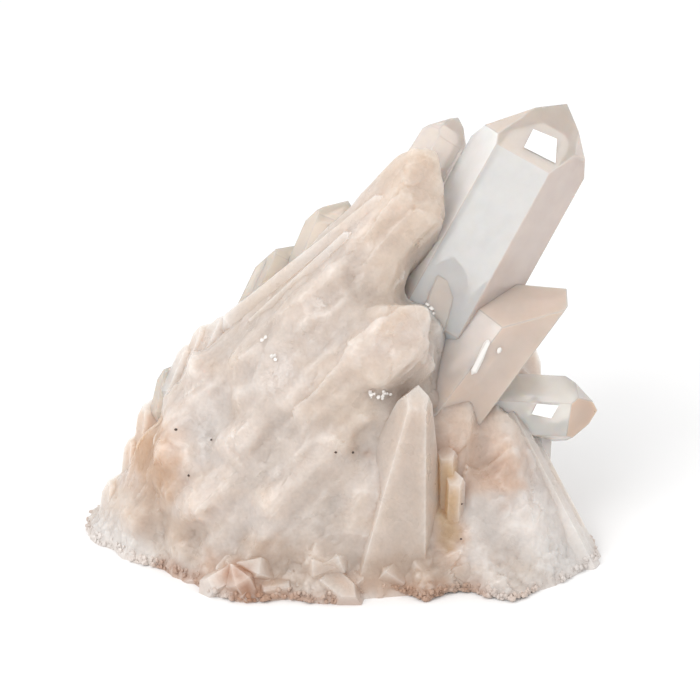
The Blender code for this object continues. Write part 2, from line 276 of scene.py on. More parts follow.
STAINS = [Stain(*row) for row in (
    # tan on the upper parts of the shoulder crystal and the centre one
    (TAN, (20, 3, 88), (14, -1, 74), 15.0, 0.9),
    (TAN, (14, -6, 60), (2, -19, 40), 13.0, 0.85),
    (TAN, (6, -4, 66), (-4, -6, 56), 8.0, 0.5),
    # greyer, cooler quartz
    (GREY_TAN, (16, -20, 44), (18, -27, 6), 13.0, 0.95),
    (COOL, (42, -17, 17), (52, -22, 3), 15.0, 1.0),
    (COOL, (38, -15, 24), (30, -22, 10), 9.0, 0.7),
    (COOL, (-24, -10, 28), (-12, -21, 24), 10.0, 0.6),
    (COOL, (-56, 0, 5), (-51, -8, 2), 8.0, 0.8),
    # iron staining
    (PEACH, (-47, 0, 24), (-37, -8, 22), 13.0, 1.0),
    # iron stain on the left lobe, made deeper as painted shade to offset the stronger key light there
    (DEEP_IRON_AND_SHADE, (-46, -2, 25), (-38, -9, 19), 12.0, 0.8),
    (DEEP_TAN, (-42, -11, 12), (-31, -19, 9), 9.0, 0.75),
    (PEACH, (33, -12, 26), (26, -12, 35), 11.0, 0.8),
    (IRON, (28, -16, 24), (38, -14, 21), 8.0, 0.8),
    (DEEP_TAN, (-18, -27, 7), (24, -31, 4), 9.0, 1.0),
    (IRON, (-28, -26, 4), (-14, -32, 1), 6.0, 0.8),
    (RUST, (-22.5, -31, 6), (-19, -34, 3), 4.5, 1.0),
    (IRON, (2, -32, 3), (26, -32, 2), 4.5, 0.6),
    # on the rim
    (WHITE, (-57, -3, 2), (-44, -15, 1), 6.0, 0.5),
    (RUST, (-40, -19, 1), (-30, -26, 1), 4.0, 0.6),
    (RUST, (14, -31, 2), (30, -31, 1), 4.0, 0.5),
    # painted shadow: a dark rust-brown line along the front foot at the table, where the rim's underside is
    # in shade
    (RUST, (-22, -34, 0), (26, -35, 0), 3.5, 0.6),
    # the amber slot and small hollows
    (PEACH, (24, -21, 26), (24, -24, 6), 6.0, 0.9),
    (GOLD, (23, -17, 27), (23.5, -23, 8), 3.6, 1.0),
    (IRON, (21, -17, 30), (25, -17, 29), 4.0, 0.8),
    (IRON, (6.5, -20, 28.5), (7.5, -20.5, 24.5), 2.4, 1.0),
    # painted shade: a dark grey-tan streak standing for a small crevice on the shoulder crystal
    (GREY_TAN, (-1, -2, 66.5), (0.8, -3, 71), 1.8, 0.9),
    # the shaded front
    (GREY_TAN, (-20, -6, 50), (-2, -10, 60), 13.0, 0.5),
    (GREY_TAN, (-12, -22, 34), (-2, -24, 10), 15.0, 0.65),
    # light edges, and the pale right side
    (WHITE, (10, -1, 81), (-20, 1, 52), 2.4, 0.15),
    (WHITE, (2, -3, 73), (-16, -4, 54), 2.0, 0.15),
    (WHITE, (46, -19, 10), (56, -14, 3), 13.0, 0.45),
    # painted highlight along the upper edge of the low wedge
    (WHITE, (-3, -22, 34), (-14, -22, 25), 2.0, 0.6),
)]
STAIN_FALL = 1.25  # over 1: it has its full strength near its line
STAIN_WARP = 3.0  # how far noise moves their edges
WARP_SHARE = 0.35  # the most, for their reach
WARP_SIZE = 4.0
WARP_SEEDS = (13, 14, 15)
# painted light and shade by relief, used by edge_lit: ridges are lightened towards WHITE and hollows
# darkened
EDGE_ROUNDS = 6
EDGE_HEIGHT = 0.4  # a ridge that stands this far out is fully lit
EDGE_LIGHT = 0.3
HOLLOW_SHADE = 0.05

# The thin milky films on the clear crystals' faces: how much each covers, and its colour.
COOL_FILM = (0.52, (0.775, 0.77, 0.76))
CLEAN_FILM = (0.6, (0.89, 0.875, 0.86))
# a warm film that is also darker as painted shade, on faces towards the right of the clear point
ROSE_FILM_AND_SHADE = (0.6, (0.70, 0.60, 0.55))
PALE_FILM = (0.55, (0.74, 0.66, 0.61))
WARM_FILM = (0.66, (0.76, 0.645, 0.565))
DARK_FILM = (0.7, (0.62, 0.475, 0.385))
THIN_FILM = (0.45, (1.0, 0.90, 0.845))
BAND_FILM = (0.7, (0.68, 0.58, 0.50))
TIP_FILM = (0.44, (0.83, 0.745, 0.675))
# the tan tint on the clear crystals' worn edge bevels: a painted dark line standing for the refraction that
# outlines real edges
EDGE_FILM_PAINTED_LINE = (0.6, (0.66, 0.59, 0.54))
FRINGE_FILM = (0.5, (0.87, 0.77, 0.68))
REAR_FILM = (0.5, (0.84, 0.76, 0.70))
BROAD_FILM = (0.6, (0.84, 0.765, 0.715))
STUB_FILM = (0.55, (0.78, 0.68, 0.61))
SIDE_STUB_FILM = (0.6, (0.78, 0.72, 0.68))
RUSTY_FILM = (0.85, (0.60, 0.42, 0.30))
BROWN_FILM = (0.8, (0.62, 0.47, 0.37))

# Each clear crystal's film, and those of single faces by kind and side, 0 in front and 1 to its right.
FACE_KINDS = ("prism", "tip", "root")
FILMS = {
    "clear_point": (COOL_FILM, {
        ("prism", 5): CLEAN_FILM, ("prism", 1): ROSE_FILM_AND_SHADE, ("prism", 2): PALE_FILM,
        ("tip", 0): TIP_FILM, ("tip", 1): PALE_FILM, ("tip", 2): ROSE_FILM_AND_SHADE,
        ("tip", 3): BAND_FILM, ("tip", 4): BAND_FILM, ("tip", 5): BAND_FILM,
    }),
    "rear_tip": (REAR_FILM, {}),
    "right_point": (WARM_FILM, {
        ("prism", 0): BROAD_FILM, ("prism", 5): PALE_FILM,
        **{("tip", side): DARK_FILM for side in range(2, 6)},
    }),
    "stub": (STUB_FILM, {}),
    "side_point": (THIN_FILM, {("tip", 1): RUSTY_FILM, ("tip", 0): BROWN_FILM}),
    "side_stub": (SIDE_STUB_FILM, {}),
}
EDGE_WIDTH = 0.3  # the worn edges of the clear crystals
STAINS_ON_CLEAR = (PEACH, IRON, RUST, GOLD)
STAIN_LIGHTER = 1.35
STAIN_THINNER = 0.6

# Painted highlights, low near-white steps standing for glints of the lamp: the crystal, the numbers of its
# planes for the face, its edge and the edge's end, and the corners, measured along the edge from its end and
# away from it.
PAINTED_HIGHLIGHT_FACETS = (
    ("clear_point", (1, 0, 3), ((0.1, 3.0), (2.6, 8.8), (8.1, 8.0), (7.7, 2.6))),
    ("side_point", (0, 15, 1), ((3.0, 0.5), (8.0, 0.3), (8.8, 2.8), (4.2, 3.6))),
)
FACET_STEP = 0.2  # how far it stands out
FACET_ROOT = 0.8  # how far it reaches in

# ---- small things on the surface ----
SPECKS = (
    (-25.2, -10.9, 27.2), (1.5, -20.7, 30), (-1.2, -23.2, 31.3), (-31, -14.7, 21.5), (-35.6, -10.1, 30.2),
    (27.8, -20.5, 17), (26.5, -23, 10.1),
)
SPECK_RADIUS = 0.42
SPECK_UNEVEN = (0.7, 1.2)
# the nests of painted glints: chips coloured near white to stand for glints of the lamp
PAINTED_GLINTS = (
    (21.3, -3, 57.9), (21.5, -2.4, 60), (22, -3.6, 55.8), (8.8, -17.7, 42.7), (6.9, -17.5, 43.3),
    (-3.7, 8.9, 71.9), (-12.8, -7.5, 45.7),
)
CHIPS_PER_PAINTED_GLINT = 11
CHIP_STRAY = 0.5
PAINTED_GLINT_SPREAD = 1.5
CHIP_SIZE = (0.15, 0.7)
CHIP_LEAN = 0.8  # of the tip, for its stray
CHIP_LENGTH = 2.2  # for its size, as the girth
CHIP_GIRTH = 0.65
# Narrow painted highlights along bright lines, as rods in the near-white glint colour: start, end and girth.
PAINTED_HIGHLIGHT_STREAKS = (
    ((32.6, -8.5, 50.9), (28.6, -11.1, 43.6), 0.65),
    ((34.9, -8.3, 49.2), (34.3, -8.5, 47.4), 0.5),
)
RIM_GRAINS = 3000
RIM_GRAIN_RADIUS = (0.25, 0.95)
RIM_FINENESS = 2.5  # higher: more of them are small
RIM_HEIGHT = 2.6
RIM_LOWNESS = 1.6  # higher: more of them lie low
RIM_CLUMPS = 0.35  # to a millimetre
RIM_GAPS = (-0.5, 0.3)  # no grain where the clumps' noise is lower
RIM_OUT = (-0.5, 0.4)  # out of the surface, for its radius
GRANULE_SQUASH = (0.6, 1.0)
GRANULE_UNEVEN = (0.7, 1.15)

# ---- materials ----
QUARTZ_IOR = 1.544
NOISE_RANGE = (0.3, 0.7)  # of most of a noise pattern
GRAINY_FOOT = (1.0, 6.0)  # from sugary to milky between these heights

# ---- the camera, from the photograph's scale, height and lens ----
CAMERA_DISTANCE = 600.0
CAMERA_TARGET = Vector((2.3, -4.7, 45.0))
SCALE_PER_PIXEL = 0.22  # millimetres at the target
PICTURE_PIXELS = 700
SENSOR = 36.0

# ---- floor and light ----
FLOOR_SIZE = 6000.0
KEY_PLACE = Vector((-450, -600, 700))
KEY_SIZE = 600.0
KEY_WATTS = 4.5


# ---- shapes ----


def corners_of(planes):
    """The corners of the convex solid under the planes, each given as (point on it, outward normal)."""
    normals = np.array([normal for _, normal in planes])
    depths = np.array([np.dot(point, normal) for point, normal in planes])
    triples = np.array(list(itertools.combinations(range(len(planes)), 3)))
    triples = triples[np.abs(np.linalg.det(normals[triples])) > MIN_CROSSING]
    corners = np.linalg.solve(normals[triples], depths[triples][..., None])[..., 0]
    under_all = (corners @ normals.T < depths + CORNER_TOLERANCE).all(axis=1)
    return corners[under_all]


def crystal_frame(crystal):
    """From a crystal's own frame, X to its right and Z along it to its tip, to the cluster's."""
    long_axis = (Vector(crystal.tip) - Vector(crystal.foot)).normalized()
    back = (long_axis * FRONT.dot(long_axis) - FRONT).normalized()
    right = back.cross(long_axis)
    turn = Matrix((right, back, long_axis)).transposed().to_4x4()
    return Matrix.Translation(Vector(crystal.tip)) @ turn


def crystal_planes(crystal):
    """The planes of a crystal in its own frame: for each of six sides its prism, tip and root face."""
    length = (Vector(crystal.tip) - Vector(crystal.foot)).length
    axis_side = Vector((-crystal.lean, 0, 0))
    root_end = axis_side - Vector((0, 0, length))
    taper = math.radians(crystal.taper)
    rise = math.radians(FACE_TO_AXIS_DEG)
    planes = []
    for side in range(6):
        turn = math.radians(crystal.roll + 60 * side)
        outward = Vector((math.sin(turn), -math.cos(turn), 0.0))
        shoulder = axis_side + outward * crystal.girth - Vector((0, 0, crystal.girth))
        planes.append((shoulder, outward * math.cos(taper) + Vector((0, 0, math.sin(taper)))))
        top = outward * math.cos(rise) + Vector((0, 0, math.sin(rise)))
        planes.append((top * (crystal.minor if side % 2 else 0.0), top))
        planes.append((root_end, outward * math.cos(rise) - Vector((0, 0, math.sin(rise)))))
    return planes


def convex_mesh(planes):
    """A bmesh of the convex solid under the planes, with one face to each plane."""
    bm = bmesh.new()
    for corner in corners_of(planes):
        bm.verts.new(corner)
    bmesh.ops.remove_doubles(bm, verts=bm.verts, dist=MERGE)
    bmesh.ops.convex_hull(bm, input=bm.verts)
    bmesh.ops.dissolve_limit(bm, angle_limit=FLAT_ANGLE, verts=bm.verts, edges=bm.edges)
    bmesh.ops.recalc_face_normals(bm, faces=bm.faces)
    return bm


class Shape(NamedTuple):
    """A closed triangle mesh: points in millimetres and the corners of each triangle."""

    points: np.ndarray
    faces: np.ndarray


def shape_of(bm):
    """The bmesh's triangles; it is freed."""
    bmesh.ops.triangulate(bm, faces=bm.faces)
    bm.verts.index_update()
    points = np.array([vertex.co[:] for vertex in bm.verts])
    faces = np.array([[vertex.index for vertex in face.verts] for face in bm.faces])
    bm.free()
    return Shape(points, faces)


def sides_of(faces):
    """The two ends of each triangle's three sides, the lower number first."""
    return np.sort(faces[:, [[0, 1], [1, 2], [2, 0]]].reshape(-1, 2), axis=1)


def turned(rows, turns):
    """Each row of three values turned on by its own number of places."""
    return np.take_along_axis(rows, (np.arange(3) + turns[:, None]) % 3, axis=1)


def refined(shape, longest):
    """Splits each triangle's longest edge in the middle until none is longer than longest."""
    points, faces = shape
    while True:
        ends = sides_of(faces)
        keys = ends[:, 0] * len(points) + ends[:, 1]
        _, first, index = np.unique(keys, return_index=True, return_inverse=True)
        edges = ends[first]
        index = index.reshape(-1, 3)
        length = np.linalg.norm(points[edges[:, 0]] - points[edges[:, 1]], axis=1)
        worst = np.take_along_axis(index, np.argmax(length[index], axis=1)[:, None], axis=1)
        split = np.zeros(len(edges), bool)
        split[worst] = True
        split &= length > longest
        if not split.any():
            return Shape(points, faces)
        middle = np.where(split, len(points) + np.cumsum(split) - 1, -1)[index]
        points = np.vstack([points, points[edges[split]].mean(axis=1)])
        count = (middle >= 0).sum(axis=1)
        made = [faces[count == 0]]

        one = count == 1
        turns = np.argmax(middle[one] >= 0, axis=1)
        a, b, c = turned(faces[one], turns).T
        m = turned(middle[one], turns)[:, 0]
        made += [np.stack([a, m, c], axis=1), np.stack([m, b, c], axis=1)]

        two = count == 2
        turns = np.argmax(middle[two] < 0, axis=1) + 1
        a, b, c = turned(faces[two], turns).T
        m, n = turned(middle[two], turns)[:, :2].T
        made += [np.stack([m, b, n], axis=1), np.stack([a, m, n], axis=1), np.stack([a, n, c], axis=1)]

        a, b, c = faces[count == 3].T
        m, n, o = middle[count == 3].T
        made += [np.stack(corner, axis=1) for corner in ((a, m, o), (m, b, n), (o, n, c), (m, n, o))]
        faces = np.vstack(made)


def placed(shape, matrix):
    turn = np.array(matrix.to_3x3())
    return Shape(shape.points @ turn.T + np.array(matrix.translation), shape.faces)


def linked(name, data):
    obj = bpy.data.objects.new(name, data)
    bpy.context.scene.collection.objects.link(obj)
    return obj


def object_from(shape, name):
    """An object in metres, in the part's frame, of a shape in the crystals' own millimetres."""
    mesh = bpy.data.meshes.new(name)
    mesh.from_pydata((shape.points + np.array(SHIFT)) * MM, [], shape.faces)
    return linked(name, mesh)


def crystal_shape(crystal, longest=math.inf):
    """A crystal in the cluster's frame, with no edge longer than longest."""
    shape = refined(shape_of(convex_mesh(crystal_planes(crystal))), longest)
    return placed(shape, crystal_frame(crystal))


def crystal_object(crystal):
    return object_from(crystal_shape(crystal, CRISP_EDGE), crystal.name)


def lattice_noise(points, size, seed):
    """Smooth noise from -1 to 1 whose lumps are about size across, one value to each point."""
    scaled = points / size + seed * SEED_STEP
    cell = np.floor(scaled).astype(np.int64)
    inside = scaled - cell
    fade = inside * inside * inside * (inside * (inside * 6 - 15) + 10)
    total = np.zeros(len(points))
    for corner in itertools.product((0, 1), repeat=3):
        share = np.prod(np.where(corner, fade, 1 - fade), axis=1)
        away = inside - corner
        total += share * np.einsum("ij,ij->i", scattered(cell + corner, seed), away)
    return total * NOISE_GAIN


def waves(points, size, height, seed):
    return height * lattice_noise(points, size, seed)


def scattered(cell, seed):
    """A repeatable random vector, each part from -1 to 1, for each whole-numbered cell."""
    x, y, z = (cell * CELL_PRIMES).T
    mixed = x ^ y ^ z ^ (seed + 1) * SEED_PRIME
    parts = []
    for _ in range(3):
        mixed = (mixed ^ (mixed >> 13)) * MIXING_PRIME & 0x7FFFFFFF
        parts.append((mixed & 0xFFFF) / 0x7FFF - 1.0)
    return np.stack(parts, axis=1)


def cells_round(points, size, stray, seed):
    """The cells round each point, and where it lies from each one's strayed middle."""
    scaled = points / size
    cell = np.floor(scaled).astype(np.int64)
    for step in itertools.product((-1, 0, 1), repeat=3):
        other = cell + step
        yield other, scaled - (other + 0.5 + scattered(other, seed) * stray)


def grain_cells(points, size, seed):
    """How near each point is to the middle of its grain of about size: 1 there and 0 between grains."""
    nearest = np.full(len(points), np.inf)
    second = np.full(len(points), np.inf)
    for _, away in cells_round(points, size, GRAIN_STRAY, seed):
        distance = np.linalg.norm(away, axis=1)
        second = np.minimum(second, np.maximum(distance, nearest))
        nearest = np.minimum(nearest, distance)
    return np.clip(second - nearest, 0, 1)


def broken_facets(points, size, tilt, seed):
    """How far each point is in or out on flat chips about size across, each leaning by up to tilt."""
    nearest = np.full(len(points), np.inf)
    height = np.zeros(len(points))
    for cell, away in cells_round(points, size, FACET_STRAY, seed):
        distance = np.linalg.norm(away, axis=1)
        closer = distance < nearest
        nearest = np.minimum(nearest, distance)
        lean = scattered(cell, seed + 100) * tilt
        height = np.where(closer, np.einsum("ij,ij->i", lean, away) * size, height)
    return height


def smoothed(shape, rounds):
    """Moves each point part of the way to the middle of its neighbours, several times over."""
    points, faces = shape
    a, b = np.unique(sides_of(faces), axis=0).T
    count = np.bincount(np.concatenate([a, b]), minlength=len(points))[:, None]
    for _ in range(rounds):
        total = np.zeros_like(points)
        for axis in range(3):
            from_b = np.bincount(a, points[b, axis], len(points))
            from_a = np.bincount(b, points[a, axis], len(points))
            total[:, axis] = from_b + from_a
        points = points + (total / count - points) * SMOOTHING_SHARE
    return Shape(points, faces)


def triangle_normals(shape):
    """Each triangle's outward normal, not yet of length 1."""
    a, b, c = (shape.points[shape.faces[:, k]] for k in range(3))
    return np.cross(b - a, c - a)


def unit_rows(rows, least):
    """Each row brought to length 1, unless it is shorter than least."""
    return rows / np.maximum(np.linalg.norm(rows, axis=1), least)[:, None]


def normals_of(shape):
    """The outward normal at each point."""
    across = triangle_normals(shape)
    total = np.zeros_like(shape.points)
    for k in range(3):
        for axis in range(3):
            total[:, axis] += np.bincount(shape.faces[:, k], across[:, axis], len(shape.points))
    return unit_rows(total, TINY)


def shape_from(obj):
    """The triangles of an object, in the crystals' own millimetres."""
    mesh = obj.data
    mesh.calc_loop_triangles()
    points = np.empty(len(mesh.vertices) * 3)
    mesh.vertices.foreach_get("co", points)
    faces = np.empty(len(mesh.loop_triangles) * 3, np.int32)
    mesh.loop_triangles.foreach_get("vertices", faces)
    return Shape(points.reshape(-1, 3) / MM - np.array(SHIFT), faces.reshape(-1, 3).astype(np.int64))


def take_modified(obj):
    """Makes what the object's modifiers give its own mesh."""
    graph = bpy.context.evaluated_depsgraph_get()
    mesh = bpy.data.meshes.new_from_object(obj.evaluated_get(graph))
    obj.modifiers.clear()
    obj.data = mesh


def remeshed(obj, voxel):
    """The object's shape again in even small triangles, with what overlapped made one."""
    modifier = obj.modifiers.new("remesh", "REMESH")
    modifier.mode = "VOXEL"
    modifier.voxel_size = voxel * MM
    take_modified(obj)
    return shape_from(obj)


def smooth_outline(points, count):
    """count points along a closed Catmull-Rom curve through the outline's points."""
    outline = [Vector(point) for point in points]
    total = len(outline)
    smooth = []
    for step in range(count):
        place = step * total / count
        start = int(place)
        t = place - start
        a, b, c, d = (outline[(start + k) % total] for k in (-1, 0, 1, 2))
        square, cube = 2 * a - 5 * b + 4 * c - d, 3 * b - a - 3 * c + d
        smooth.append(0.5 * (2 * b + (c - a) * t + square * t**2 + cube * t**3))
    return smooth


def roughened(point):
    """A point of the mound pushed in and out by the broken, granular surface, as in the part."""
    chunk, lump, grain = (
        noise.noise(point * closeness + Vector(start)) * height
        for closeness, height, start in MOUND_ROUGHNESS
    )
    out = Vector((point.x - BASE_CENTRE[0], point.y - BASE_CENTRE[1], 0.0)).normalized()
    rise = min(1.0, point.z / ROUGH_HEIGHT)
    moved = point + out * (chunk * rise + lump * rise + grain)
    moved.z += (chunk * ROUGH_LIFT + lump * ROUGH_LIFT) * rise
    return moved


def mound_outline(height):
    """The mound's outline at a height: the footprint at the table, and nearer to an oval higher up."""
    shares = dict(MOUND_PROFILE)
    lower = max(level for level in shares if level <= height)
    upper = min(level for level in shares if level >= height)
    mix = (height - lower) / (upper - lower) if upper > lower else 0.0
    share = shares[lower] * (1 - mix) + shares[upper] * mix
    centre = Vector(BASE_CENTRE)
    round_off = min(1.0, height / MOUND_ROUND_HEIGHT)
    outline = []
    for corner in smooth_outline(FOOTPRINT, MOUND_SEGMENTS):
        out = corner - centre
        turn = math.atan2(out.y / MOUND_OVAL[1], out.x / MOUND_OVAL[0])
        oval = Vector((math.cos(turn) * MOUND_OVAL[0], math.sin(turn) * MOUND_OVAL[1]))
        flat = centre + out.lerp(oval, round_off) * share
        outline.append(Vector((flat.x, flat.y + MOUND_LEAN * height, height)))
    return outline


def matrix_mound():
    """The milky mass that the crystals stand in: a broken mound, flat underneath."""
    bm = bmesh.new()
    rings = [
        [bm.verts.new(roughened(point) if height > 0 else point) for point in mound_outline(height)]
        for height, _ in MOUND_PROFILE
    ]
    for low, high in zip(rings, rings[1:]):
        for k in range(MOUND_SEGMENTS):
            n = (k + 1) % MOUND_SEGMENTS
            bm.faces.new((low[k], low[n], high[n], high[k]))
    bm.faces.new(list(reversed(rings[0])))
    bm.faces.new(rings[-1])
    bmesh.ops.recalc_face_normals(bm, faces=bm.faces)
    return object_from(shape_of(bm), "milky_mass")


def crust():
    """The small crystals of the back, half sunk in the mound and pointing out and up, as in the part."""
    dice = random.Random(5)
    for number in range(CRUST_COUNT):
        height = dice.uniform(*CRUST_HEIGHT)
        turn = math.radians(dice.uniform(*CRUST_TURN_DEG))
        heading = Vector((math.cos(turn), math.sin(turn), 0))
        centre = Vector((*BASE_CENTRE, height))
        seat = max(mound_outline(height), key=lambda point: (point - centre).normalized().dot(heading))
        aim = heading + Vector([dice.uniform(*span) for span in (CRUST_STRAY, CRUST_STRAY, CRUST_RISE)])
        half = aim.normalized() * dice.uniform(*CRUST_LENGTH) * 0.5
        girth = dice.uniform(*CRUST_GIRTH)
        yield Crystal(f"crust_{number:02d}", seat + half, seat - half, girth, roll=dice.uniform(0, 60))


def ground_block():
    """All that is under the table's surface, which the cluster is cut off at."""
    bm = bmesh.new()
    bmesh.ops.create_cube(bm, size=GROUND_SIZE)
    bmesh.ops.translate(bm, vec=(0, 0, -GROUND_SIZE / 2), verts=bm.verts)
    return object_from(shape_of(bm), "ground")


def apply_boolean(target, operation, tools):
    """Joins the tools to the target, or cuts them from it, and removes them."""
    group = bpy.data.collections.new("tools")
    bpy.context.scene.collection.children.link(group)
    for tool in tools:
        group.objects.link(tool)
    modifier = target.modifiers.new(operation.lower(), "BOOLEAN")
    modifier.operation = operation
    modifier.solver = "MANIFOLD"
    modifier.operand_type = "COLLECTION"
    modifier.collection = group
    take_modified(target)
    for tool in tools:
        bpy.data.objects.remove(tool)
    bpy.data.collections.remove(group)


def crisp(obj):
    """Smooth shading inside each face, and hard edges between them."""
    obj.data.shade_smooth()
    obj.data.set_sharp_from_angle(angle=CRISP_ANGLE)


# ---- materials ----


class Tree:
    """A short way to write a material's nodes."""

    def __init__(self, name):
        self.material = bpy.data.materials.new(name)
        self.material.use_nodes = True
        self.nodes = self.material.node_tree.nodes
        self.links = self.material.node_tree.links
        self.shader = self.nodes["Principled BSDF"]
        self.output = self.nodes["Material Output"]

    def add(self, kind, **settings):
        node = self.nodes.new(kind)
        for key, value in settings.items():
            setattr(node, key, value)
        return node

    def set(self, socket, value):
        self.shader.inputs[socket].default_value = value

    def join(self, source, target):
        self.links.new(source, target)

    def feed(self, socket, source):
        self.join(source, self.shader.inputs[socket])

    def stored(self, name, output):
        """What is stored on the mesh under a name."""
        return self.add("ShaderNodeAttribute", attribute_name=name).outputs[output]

    def place(self):
        return self.add("ShaderNodeTexCoord").outputs["Object"]

    def noise(self, place, size, detail):
        """A noise pattern whose lumps are about size millimetres across."""
        node = self.add("ShaderNodeTexNoise")
        node.inputs["Scale"].default_value = 1.0 / (size * MM)
        node.inputs["Detail"].default_value = detail
        self.join(place, node.inputs["Vector"])
        return node.outputs["Fac"]

    def mapped(self, value, source, target):
        """A value that runs over source brought to the range of target."""
        node = self.add("ShaderNodeMapRange")
        for socket, number in zip(("From Min", "From Max", "To Min", "To Max"), (*source, *target)):
            node.inputs[socket].default_value = number
        self.join(value, node.inputs["Value"])
        return node.outputs["Result"]

    def product(self, first, second):
        node = self.add("ShaderNodeMath", operation="MULTIPLY", use_clamp=True)
        self.join(first, node.inputs[0])
        self.join(second, node.inputs[1])
        return node.outputs["Value"]

    def scaled(self, colour, value):
        """A colour made lighter or darker by a value."""
        node = self.add("ShaderNodeVectorMath", operation="SCALE")
        self.join(colour, node.inputs[0])
        self.join(value, node.inputs["Scale"])
        return node.outputs["Vector"]

    def bump(self, patterns, distance):
        """Fine relief from several patterns, each with its own strength, over distance millimetres."""
        normal = None
        for pattern, strength in patterns:
            node = self.add("ShaderNodeBump")
            node.inputs["Strength"].default_value = strength
            node.inputs["Distance"].default_value = distance * MM
            self.join(pattern, node.inputs["Height"])
            if normal:
                self.join(normal, node.inputs["Normal"])
            normal = node.outputs["Normal"]
        self.feed("Normal", normal)


def milky_material():
    """Milky quartz: light goes into it and comes back soft, under a glossy, finely etched skin."""
    tree = Tree("milky_quartz")
    place = tree.place()
    tint = tree.stored("tint", "Color")
    cloud = tree.noise(place, size=3.2, detail=6.0)
    speckle = tree.noise(place, size=0.8, detail=3.0)
    light = tree.mapped(cloud, NOISE_RANGE, target=(0.96, 1.05))
    fine = tree.mapped(speckle, NOISE_RANGE, target=(0.965, 1.03))
    tree.feed("Base Color", tree.scaled(tree.scaled(tint, light), fine))
    etched = tree.noise(place, size=7.0, detail=4.0)
    tree.feed("Roughness", tree.mapped(etched, (0.35, 0.65), target=(0.22, 0.50)))
    tree.bump(((cloud, 0.35), (speckle, 0.2)), distance=0.5)
    tree.set("IOR", QUARTZ_IOR)
    apart = tree.add("ShaderNodeSeparateXYZ")
    tree.join(place, apart.inputs["Vector"])
    foot = [height * MM for height in GRAINY_FOOT]
    tree.feed("Subsurface Weight", tree.mapped(apart.outputs["Z"], foot, target=(0.0, 1.0)))
    tree.set("Subsurface Radius", (1.0, 0.85, 0.75))
    tree.set("Subsurface Scale", 13.0 * MM)
    return tree.material


def plain_material(name, roughness, colour=None):
    """Quartz that light doesn't go into, of one colour or of the colours stored on the piece."""
    tree = Tree(name)
    if colour:
        tree.set("Base Color", (*colour, 1.0))
    else:
        tree.feed("Base Color", tree.stored("tint", "Color"))
    tree.set("Roughness", roughness)
    tree.set("IOR", QUARTZ_IOR)
    return tree.material


def clear_material():
    """Clear quartz, with a thin warm film on some faces and a faint absorption inside."""
    tree = Tree("clear_quartz")
    cloud = tree.noise(tree.place(), size=6.0, detail=4.0)
    patchy = tree.mapped(cloud, NOISE_RANGE, target=(0.94, 1.06))
    covered = tree.product(tree.stored("film", "Fac"), patchy)
    tree.feed("Base Color", tree.stored("tint", "Color"))
    for socket, target in (("Transmission Weight", (1.0, 0.0)), ("Roughness", (0.0, 0.35))):
        tree.feed(socket, tree.mapped(covered, (0.0, 1.0), target))
    tree.set("IOR", QUARTZ_IOR)
    tree.set("Subsurface Weight", 1.0)
    tree.set("Subsurface Radius", (1.0, 0.8, 0.65))
    tree.set("Subsurface Scale", 4.0 * MM)
    inside = tree.add("ShaderNodeVolumeAbsorption")
    inside.inputs["Color"].default_value = (0.86, 0.70, 0.60, 1.0)
    inside.inputs["Density"].default_value = 7.0
    tree.join(inside.outputs["Volume"], tree.output.inputs["Volume"])
    return tree.material


# ---- pieces ----


def dress(piece, material):
    """Gives a piece its material and its place in the part."""
    piece.data.materials.clear()
    piece.data.materials.append(material)
    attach(piece, "root")
    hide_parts("quartz_cluster")


def fused_relief(points):
    """How far each point of the fused mass stands out: swells, worn facets, ridges and sugary grains."""
    axis = np.array(GROWTH_AXIS)
    along = (points @ axis)[:, None] * axis
    stretched = points - along * STRETCH
    relief = waves(points, *SWELLS)
    relief += broken_facets(stretched, *LONG_FACETS)
    relief += broken_facets(points, *SHORT_FACETS)
    relief += waves(points, *RIPPLES) + waves(stretched, *RIDGES)
    grainy = np.clip(GRAINY_START - points[:, 2] / GRAINY_HEIGHT + waves(points, *GRAINY_EDGE), 0, 1)
    grains = GRAIN_HEIGHT * grain_cells(points, *GRAINS) - GRAIN_SINK
    relief += grainy * (grains + waves(points, *GRAIN_WAVES))
    return relief


def moved_out(shape, distance):
    """The shape with each point moved along its normal, by one distance or by one for each point."""
    return Shape(shape.points + normals_of(shape) * np.reshape(distance, (-1, 1)), shape.faces)


def surface_of(obj):
    """A function that finds the point of an object's surface nearest to another, and the normal there."""
    shape = shape_from(obj)
    return BVHTree.FromPolygons(shape.points.tolist(), shape.faces.tolist()).find_nearest


def splinters(groups, nearest, seed):
    """The crystals of the groups, each an object that lies on the nearest surface."""
    dice = random.Random(seed)
    for group in groups:
        for number in range(group.count):
            place = Vector([dice.uniform(low, high) for low, high in zip(group.low, group.high)])
            seat, out, _, _ = nearest(place)
            stray = Vector([dice.uniform(-1, 1) for _ in range(3)])
            aim = GROWTH_AXIS + stray * GROWN_STRAY
            if not group.grown:
                aim = out.cross(stray).normalized() + out * stray.x * FREE_STRAY
            girth = dice.uniform(*group.girth)
            half = aim.normalized() * dice.uniform(*group.length) / 2
            middle = seat - out * girth * dice.uniform(*group.sunk)
            ends = middle + half, middle - half
            roll = dice.uniform(*group.spin)
            name = f"{group.name}_{number}"
            yield crystal_object(Crystal(name, *ends, girth, roll, taper=SPLINTER_TAPER))


